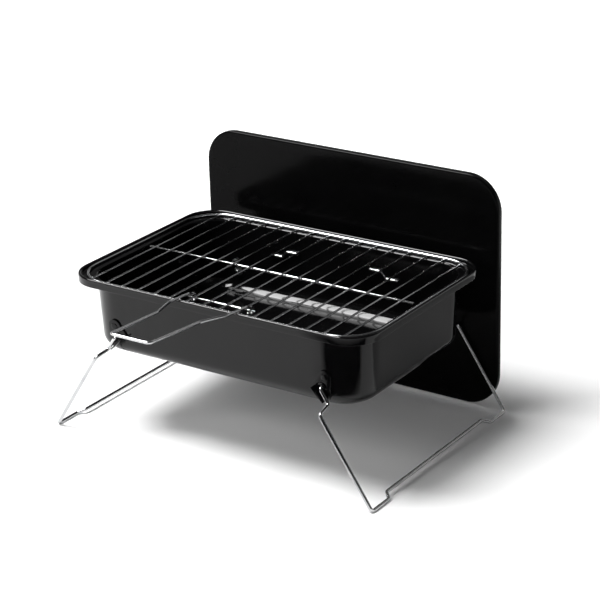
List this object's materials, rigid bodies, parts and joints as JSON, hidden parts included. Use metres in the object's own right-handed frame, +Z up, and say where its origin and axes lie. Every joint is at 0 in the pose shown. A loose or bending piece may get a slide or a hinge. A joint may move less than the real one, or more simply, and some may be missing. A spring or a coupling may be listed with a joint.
{
  "type": "folding camp grill",
  "caption": "Portable charcoal grill: black enamelled steel fire bowl on folding wire legs, with a lift-out wire grate, a folding wire handle and a loose lid.",
  "frame": {"origin": "on the ground, midway between the farthest points of the whole grill with its lid stood behind it", "axes": "+Z up; +X along the bowl's long side, to its right end seen from the handle; -Y to the front, where the handle reaches out"},
  "size_m": [0.3822, 0.3793, 0.249],
  "materials": {
    "black_enamel": "gloss",
    "lid_enamel": "gloss",
    "blacked_steel": "satin",
    "chromed_wire": "polished",
    "zinc_steel": "satin"
  },
  "bodies": {
    "tray": {"fire_bowl": "black_enamel", "bracket_front_left": "blacked_steel", "bracket_front_right": "blacked_steel", "bracket_back_left": "blacked_steel", "bracket_back_right": "blacked_steel", "screw_front_left": "blacked_steel", "screw_front_right": "blacked_steel", "screw_back_left": "blacked_steel", "screw_back_right": "blacked_steel", "nut_front_left": "zinc_steel", "nut_front_right": "zinc_steel", "nut_back_left": "zinc_steel", "nut_back_right": "zinc_steel", "back_clip_left": "chromed_wire", "back_clip_right": "chromed_wire"},
    "right_leg": {"leg_right": "chromed_wire", "pin_retainer_front_right": "zinc_steel", "pin_retainer_back_right": "zinc_steel"},
    "left_leg": {"leg_left": "chromed_wire", "pin_retainer_front_left": "zinc_steel", "pin_retainer_back_left": "zinc_steel"},
    "grate": {"grate_frame": "chromed_wire", "grate_bar_01": "chromed_wire", "grate_bar_02": "chromed_wire", "grate_bar_03": "chromed_wire", "grate_bar_04": "chromed_wire", "grate_bar_05": "chromed_wire", "grate_bar_06": "chromed_wire", "grate_bar_07": "chromed_wire", "grate_bar_08": "chromed_wire", "grate_bar_09": "chromed_wire", "grate_bar_10": "chromed_wire", "grate_bar_11": "chromed_wire", "grate_bar_12": "chromed_wire", "grate_bar_13": "chromed_wire", "grate_bar_14": "chromed_wire", "grate_bar_15": "chromed_wire", "grate_bar_16": "chromed_wire", "grate_cross_rod": "chromed_wire", "handle_pivot_rod": "chromed_wire"},
    "handle": {"handle": "chromed_wire"},
    "lid": {"lid": "lid_enamel"}
  },
  "joints": [
    {"name": "right_leg_fold", "type": "hinge", "parent": "tray", "child": "right_leg", "pos_m": [0.1219, 0.04693, 0.1049], "axis": [0, -1, 0], "range_deg": [0, 198]},
    {"name": "left_leg_fold", "type": "hinge", "parent": "tray", "child": "left_leg", "pos_m": [-0.1219, 0.04693, 0.1049], "axis": [0, 1, 0], "range_deg": [0, 198]},
    {"name": "grate_lift", "type": "slide", "parent": "tray", "child": "grate", "axis": [0, 0, -1], "range_m": [-0.12, 0]},
    {"name": "handle_fold", "type": "hinge", "parent": "grate", "child": "handle", "pos_m": [0, -0.04707, 0.15965], "axis": [1, 0, 0], "range_deg": [-160, 0]},
    {"name": "lid_lift", "type": "slide", "parent": "tray", "child": "lid", "axis": [0, 0, 1], "range_m": [0, 0.2]}
  ]
}
